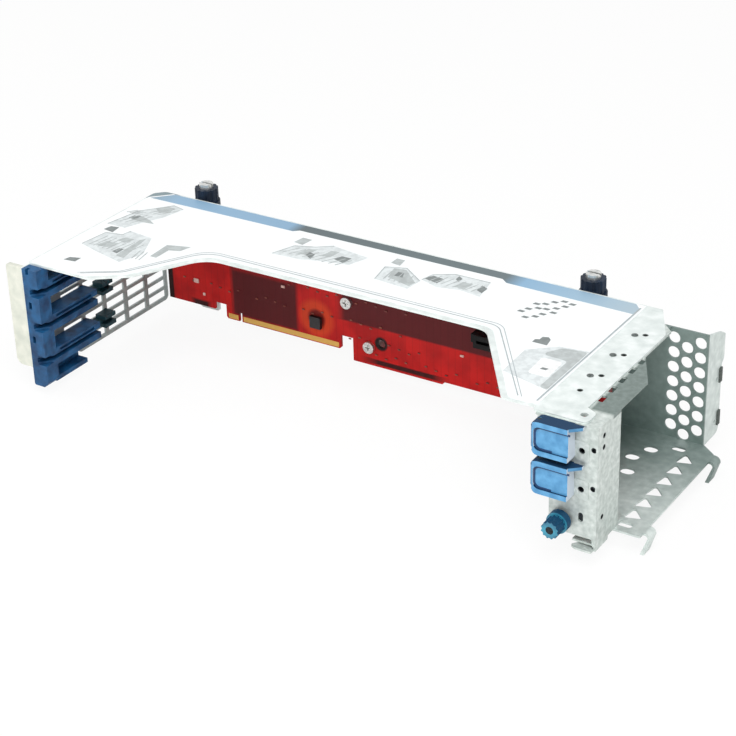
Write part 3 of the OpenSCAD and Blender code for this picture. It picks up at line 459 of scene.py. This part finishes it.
# shaded part drawings of an instruction sheet, as outlines in mm from the shared zero
washes = [
    [(-321, 42), (-319, 60), (-309, 62), (-308, 68), (-292, 66), (-283, 47), (-288, 33), (-308, 38)],
    [(-326, 70), (-322, 92), (-309, 108), (-301, 106), (-304, 92), (-310, 80), (-314, 70)],
    [(-223, 82), (-218, 96), (-207, 100), (-199, 106), (-175, 102), (-179, 90), (-194, 87), (-206, 83)],
    [(-158, 82), (-161, 97), (-150, 101), (-136, 91), (-137, 80)],
    [(-136, 93), (-134, 101), (-124, 107), (-103, 107), (-100, 90), (-113, 92), (-125, 89)],
    [(-51, 26), (-24, 19), (-24, 63), (-39, 61), (-52, 50)]]
greys = [
    [(-295, 39), (-296, 61), (-294, 64), (-289, 38)],
    [(-278, 47), (-279, 63), (-266, 67), (-268, 60), (-274, 58), (-274, 47)],
    [(-318, 81), (-318, 88), (-308, 85), (-303, 82), (-310, 81)],
    [(-316, 100), (-312, 105), (-306, 105), (-305, 99), (-310, 96)],
    [(-313, 44), (-311, 51), (-303, 52), (-305, 45)],
    [(-307, 55), (-305, 60), (-299, 60), (-301, 54)],
    [(-221, 100), (-220, 107), (-214, 107), (-215, 99)],
    [(-153, 87), (-156, 98), (-149, 99), (-137, 88), (-138, 83)],
    [(-161, 103), (-161, 109), (-156, 109), (-155, 102)],
    [(-212, 88), (-209, 96), (-204, 98), (-206, 89)],
    [(-198, 92), (-197, 100), (-192, 101), (-193, 93)],
    [(-117, 94), (-116, 101), (-110, 101), (-111, 93)]]
darks = [
    [(-323, 63), (-322, 68), (-317, 69), (-316, 62)],
    [(-316, 21), (-315, 25), (-309, 27), (-309, 22)],
    [(-321, 82), (-320, 86), (-316, 87), (-316, 82)],
    [(-300, 42), (-299, 47), (-296, 47), (-296, 41)],
    [(-206, 89), (-206, 93), (-202, 92), (-201, 86)],
    [(-190, 92), (-188, 97), (-182, 97), (-183, 90)],
    [(-151, 90), (-152, 95), (-148, 95), (-146, 90)],
    [(-136, 95), (-133, 100), (-126, 99), (-127, 93)],
    [(-121, 102), (-121, 106), (-118, 104), (-118, 100)],
    [(-105, 96), (-105, 102), (-101, 100), (-101, 94)],
    [(-53, 59), (-53, 62), (-51, 63), (-51, 66), (-48, 67), (-46, 65), (-45, 59)]]
hatches = [  # start, end, how many lines side by side and their pitch
    ((-317, 43), (-315, 57), 9, 3.1), ((-219, 86), (-214, 95), 9, 4.2), ((-132, 93), (-129, 102), 8, 3.6),
    ((-322, 76), (-317, 90), 3, 3.4), ((-154, 84), (-155, 95), 5, 3.2), ((-315, 93), (-308, 104), 3, 3.0),
    ((-327, 88), (-323, 93), 4, 2.0), ((-285, 40), (-287, 50), 3, 2.4)]
dots = [(-71, 97), (-67, 99), (-64, 103), (-60, 106), (-57, 101), (-72, 90), (-68, 93), (-64, 94),
    (-60, 97), (-69, 81), (-65, 84), (-63, 88), (-59, 92), (-74, 86), (-55, 105), (-35, 37)]
frontX = labelLow.x / mm - zero.x / mm


def drawBand(mesh):
    # colour band along the far edge, from the cut corner to the strip; its slate part, painted shade, is
    # narrower
    inkFill(mesh, roundedPath([(frontX + 1.6, 110.9, 0), (-230, 111.6, 0), (-227, 114.2, 0),
        (-100, 114.2, 0), (-96, 111.0, 0), (-23, 110.0, 0), (-23, 116.5, 2), (-27, 121.2, 2),
        (frontX + 11.6, 121.2, 0)]))


def drawShade(mesh):
    # pale grey fields under the drawings
    for wash in washes:
        inkFill(mesh, wash)


def drawSketches(mesh):
    for grey in greys:
        inkFill(mesh, grey, 1)
    for start, end, count, pitch in hatches:
        for i in range(count):
            inkLine(mesh, [(start[0] + i * pitch, start[1]), (end[0] + i * pitch, end[1])],
                ink["fine"], False)
    for wash in washes[:-1]:
        inkLine(mesh, wash[:4], ink["fine"], False)
    # curved field at the rear end, beside the white panel
    inkFill(mesh, roundedPath([(-28.5, 20, 2), (-24, 20, 1), (-24, 62, 2), (-37, 60, 4), (-43, 50, 2),
        (-28.5, 49, 2)]), 1)


def drawMarks(mesh):
    # small solid marks, and the block of dots beside the card slots
    for dark in darks:
        inkFill(mesh, dark, 2)
    for x, y in dots:
        inkFill(mesh, skewed(x - 1.6, y - 1.0, 3.2, 2.0, 0.3), 2)


def drawPanel(mesh):
    inkFill(mesh, roundedPath([(-40, 30, 2), (-29, 30, 2), (-30, 47, 2), (-41, 47, 2)]), 1)


def drawSeams(mesh):
    # double line along the cut-out, and the seam beside the bare strip
    for inset, width in ((3.0, ink["fine"]), (5.0, ink["fine"] * 0.7)):
        inkLine(mesh, roundedPath([(-294 - inset, 12, 0), (-275 - inset, 24, 8),
            (-252 - inset * 0.6, 63 + inset, 16), (-77 + inset * 0.6, 63 + inset, 10),
            (-36 + inset, 8, 0)]), width, False)
    inkLine(mesh, [(ink["foldX"], 8), (ink["foldX"], 118)], ink["fold"], False)


for name, draw, material in (
        ("labelBand", drawBand, bandInkAndShade()), ("labelShade", drawShade, plainInk("paleInk", "#d9dfe0")),
        ("labelSketches", drawSketches, plainInk("greyInk", "#b4bbbb")),
        ("labelMarks", drawMarks, plainInk("darkInk", "#7c8383")),
        ("labelPanel", drawPanel, plainInk("whiteInk", "#f2f4f4")),
        ("labelSeams", drawSeams, plainInk("seamInk", "#a9b2b5"))):
    inkPiece(name, draw, material)
print("label print laid on the film")

# ---- riser board details ----
boardLow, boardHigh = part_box("riser_board")
tongueLow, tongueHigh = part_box("edge_contacts")


def drawFingers(mesh):
    # gold fingers, 1 mm apart, standing a little proud of the plated strip
    fingers = {"pitch": 1.0 * mm, "width": 0.65 * mm, "proud": 0.05 * mm}
    count = int((tongueHigh.x - tongueLow.x) / fingers["pitch"])
    for i in range(count):
        x = tongueLow.x + (i + 0.2) * fingers["pitch"]
        if 0.09 < (x - tongueLow.x) / (tongueHigh.x - tongueLow.x) < 0.135:
            continue
        addBlock(mesh, (x, tongueLow.y - fingers["proud"], tongueLow.z),
            (x + fingers["width"], tongueLow.y, tongueHigh.z))


def drawChipParts(mesh):
    # rows of small resistors and capacitors on the near face
    parts = {"step": 6.4 * mm, "w": 1.6 * mm, "h": 0.8 * mm, "d": 0.5 * mm}
    y = boardLow.y
    span = boardHigh.x - boardLow.x
    for row, (depth, start, end) in enumerate([(0.30, 0.05, 0.62), (0.47, 0.30, 0.60),
            (0.66, 0.04, 0.60), (0.80, 0.44, 0.62), (0.90, 0.50, 0.97)]):
        z = boardHigh.z - depth * (boardHigh.z - boardLow.z)
        count = int(span * (end - start) / parts["step"])
        for i in range(count):
            if (i * 7 + row * 3) % 5 == 0:
                continue
            x = boardLow.x + start * span + i * parts["step"]
            lift = ((i * 5 + row) % 3 - 1) * 1.1 * mm
            addBlock(mesh, (x, y - parts["d"], z + lift),
                (x + parts["w"], y, z + lift + parts["h"]), 0.08 * mm)


def drawSolderPads(mesh):
    # pale component near the front end of the board, and the fiducial marks
    for x, z, w, h in [(-304, -49, 3.4, 2.6), (-298, -56, 1.6, 1.6), (-242, -38, 2.4, 1.4),
            (-126, -52, 2.2, 1.2), (-92, -56, 3.0, 1.4)]:
        low = zero + Vector((x, 115, z)) * mm
        addBlock(mesh, (low.x, low.y - 0.7 * mm, low.z), (low.x + w * mm, low.y, low.z + h * mm),
            0.1 * mm)


def boardPiece(name, draw, material):
    mesh = bmesh.new()
    draw(mesh)
    return meshPiece(name, mesh, material, "cage")


boardPiece("goldFingers", drawFingers, goldPlate)
boardPiece("boardSmallParts", drawChipParts, mouldedPlastic("tanCeramic", ["#6a2320", "#97503e"], 0.45))
boardPiece("boardPaleParts", drawSolderPads, mouldedPlastic("pinkCeramic", ["#d9a9a0", "#efcfc6"],
    0.4))
print("board details placed")

# ---- painted shade on the latch pads and in the small holes ----
for side in ("upper", "lower"):
    # painted shade strip where the pad's wall shades its left end and top
    pad = {"in": 2.6, "depth": 1.0, "corner": 3.0, "width": 1.0, "thick": 0.25, "run": 18.4}
    low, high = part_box("latch_" + side)
    left, top = low.x / mm + pad["in"], high.z / mm - pad["in"]
    bottom = low.z / mm + pad["in"]
    shadeStrip = [Vector(p) * mm for p in roundedPath([(left + pad["run"], top - 0.5, 0),
        (left + 0.5, top - 0.5, pad["corner"]), (left + 0.5, bottom + 0.5, pad["corner"]),
        (left + pad["run"] * 0.5, bottom + 0.5, 0)])]
    mesh = bmesh.new()
    addOutline(mesh, shadeStrip, pad["width"] * mm, -low.y - pad["depth"] * mm, pad["thick"] * mm, False)
    bmesh.ops.rotate(mesh, verts=mesh.verts, matrix=Matrix.Rotation(math.pi / 2, 3, "X"))
    meshPiece("latchPadShade_" + side, mesh, latchShade, "latch_" + side)

# dark blind bushes set in the small holes, painted shade for the dark inside of each hole: place,
# direction inwards, radius and length
strip = {"y": (44.6, 68.6, 92.6), "x": -8.5}
bushes = [((4.5, 0.2, z), (0, 1, 0), 1.55, 4.8) for z in (-14.2, -34.52)]
bushes += [((10.4, 0.1, z), (0, 1, 0), 1.35, 1.4) for z in (-12.6, -32.92)]
bushes += [((12.4, 6.0, z), (-1, 0, 0), 1.35, 1.4) for z in (-7, -13, -50)]
stripShadeBushes = [((strip["x"], y, -0.1), (0, 0, -1), 1.45, 2.2) for y in strip["y"]]
stripShadeBushes += [((-10.7, 27, -0.1), (0, 0, -1), 1.45, 2.2)]


def addBush(mesh, place, inward, outer, length):
    axis = Vector(inward)
    side = axis.orthogonal().normalized()
    over = axis.cross(side)
    bore = outer * 0.72
    rims = [[mesh.verts.new(zero + (Vector(place) + axis * depth
        + radius * (side * math.cos(a) + over * math.sin(a))) * mm)
        for a in (math.tau * k / 24 for k in range(24))]
        for radius, depth in ((bore, length - 0.4), (bore, 0), (outer, 0), (outer, length))]
    for first, second in zip(rims, rims[1:]):
        for k in range(24):
            mesh.faces.new([first[k], second[k], second[(k + 1) % 24], first[(k + 1) % 24]])
    mesh.faces.new(rims[0][::-1])
    mesh.faces.new(rims[3])
    bmesh.ops.recalc_face_normals(mesh, faces=mesh.faces)


mesh = bmesh.new()
for bush in stripShadeBushes:
    addBush(mesh, *bush)
meshPiece("stripShadeBushes", mesh, rivetSteel, "cage")
mesh = bmesh.new()
for bush in bushes:
    addBush(mesh, *bush)
# nut plate behind the slot under the latches
nut = {"x": 4.5, "z": -49.6, "half": (2.2, 3.6), "from": 1.0, "to": 2.0}
addBlock(mesh, zero + Vector((nut["x"] - nut["half"][0], nut["from"], nut["z"] - nut["half"][1])) * mm,
    zero + Vector((nut["x"] + nut["half"][0], nut["to"], nut["z"] + nut["half"][1])) * mm, 0.1 * mm)
meshPiece("seatShadeBushes", mesh, darkSteel, "cage")
print("latch rims and seat bushes placed")

# ---- captive springs ----
for side in ("left", "right"):
    # each spring gets its own copy of its mesh data; its bounds are read but not used
    low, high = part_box("captive_spring_" + side)
    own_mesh(nodes["captive_spring_" + side])

# ---- floor, light and camera ----
stageValues = {"reach": 6.0, "floor": "#f6f6f5", "glow": 0.9, "ambient": 0.6}


def paleFloor():
    # Seamless white paper: matte, with the object's faint shadow left on it
    material = bpy.data.materials.new("whitePaper")
    material.use_nodes = True
    tree = material.node_tree
    tree.nodes.clear()
    out = addNode(material, "ShaderNodeOutputMaterial")
    matte = addNode(material, "ShaderNodeBsdfDiffuse", inputs={"Color": linear(stageValues["floor"])})
    bright = addNode(material, "ShaderNodeEmission", inputs={"Color": (1, 1, 1, 1), "Strength": 1.0})
    path = addNode(material, "ShaderNodeLightPath")
    share = addNode(material, "ShaderNodeMath", [(path.outputs["Is Camera Ray"], 0)],
        operation="MULTIPLY", inputs={1: stageValues["glow"]})
    mix = addNode(material, "ShaderNodeMixShader", [(share.outputs[0], 0), (matte.outputs[0], 1),
        (bright.outputs[0], 2)])
    tree.links.new(mix.outputs[0], out.inputs["Surface"])
    return material


floorMesh = bmesh.new()
bmesh.ops.create_grid(floorMesh, x_segments=1, y_segments=1, size=stageValues["reach"])
floorData = bpy.data.meshes.new("floor")
floorMesh.to_mesh(floorData)
floor = bpy.data.objects.new("floor", floorData)
bpy.context.scene.collection.objects.link(floor)
floor.location.z = cadBox[0][2] - 0.0002
floorData.materials.append(paleFloor())

world = bpy.data.worlds.new("studio")
bpy.context.scene.world = world
world.use_nodes = True
sky = world.node_tree.nodes["Background"]
sky.inputs["Color"].default_value = (1, 1, 1, 1)
rays = addNode(world, "ShaderNodeLightPath").outputs
seen = addNode(world, "ShaderNodeMath", [(rays["Is Camera Ray"], 0), (rays["Is Glossy Ray"], 1)],
    operation="MAXIMUM")
level = addNode(world, "ShaderNodeMapRange", [(seen.outputs[0], "Value")],
    inputs={"To Min": stageValues["ambient"], "To Max": 1.0})
world.node_tree.links.new(level.outputs[0], sky.inputs["Strength"])


def softLamp(name, place, target, size, watts):
    data = bpy.data.lights.new(name, "AREA")
    data.shape = "DISK"
    data.size = size
    data.energy = watts
    lamp = bpy.data.objects.new(name, data)
    lamp.location = place
    lamp.rotation_euler = (Vector(target) - Vector(place)).to_track_quat("-Z", "Y").to_euler()
    bpy.context.scene.collection.objects.link(lamp)


middle = (Vector(cadBox[0]) + Vector(cadBox[1])) / 2
softLamp("keyLamp", (0.5, -0.7, 1.2), middle, 0.9, 14)
softLamp("fillLamp", (-0.9, -0.8, 0.7), middle, 1.2, 6)

lens = {"place": (0.49675, -0.7454, 0.5068), "yaw": 32.05, "pitch": 27.0, "roll": -1.18,
    "length": 95.0, "shift": (-0.0548, -0.0410)}
yaw, pitch, roll = (math.radians(lens[k]) for k in ("yaw", "pitch", "roll"))
forward = Vector((-math.sin(yaw) * math.cos(pitch), math.cos(yaw) * math.cos(pitch), -math.sin(pitch)))
right = Vector((math.cos(yaw), math.sin(yaw), 0))
up = right.cross(forward)
across = math.cos(roll) * right + math.sin(roll) * up
upward = -math.sin(roll) * right + math.cos(roll) * up
cameraData = bpy.data.cameras.new("camera")
cameraData.lens = lens["length"]
cameraData.shift_x, cameraData.shift_y = lens["shift"]
camera = bpy.data.objects.new("camera", cameraData)
turned = Matrix((across, upward, -forward)).transposed().to_4x4()
camera.matrix_world = Matrix.Translation(lens["place"]) @ turned
bpy.context.scene.collection.objects.link(camera)
bpy.context.scene.camera = camera
bpy.context.scene.view_settings.view_transform = "Standard"
print("floor, lamps and camera set")
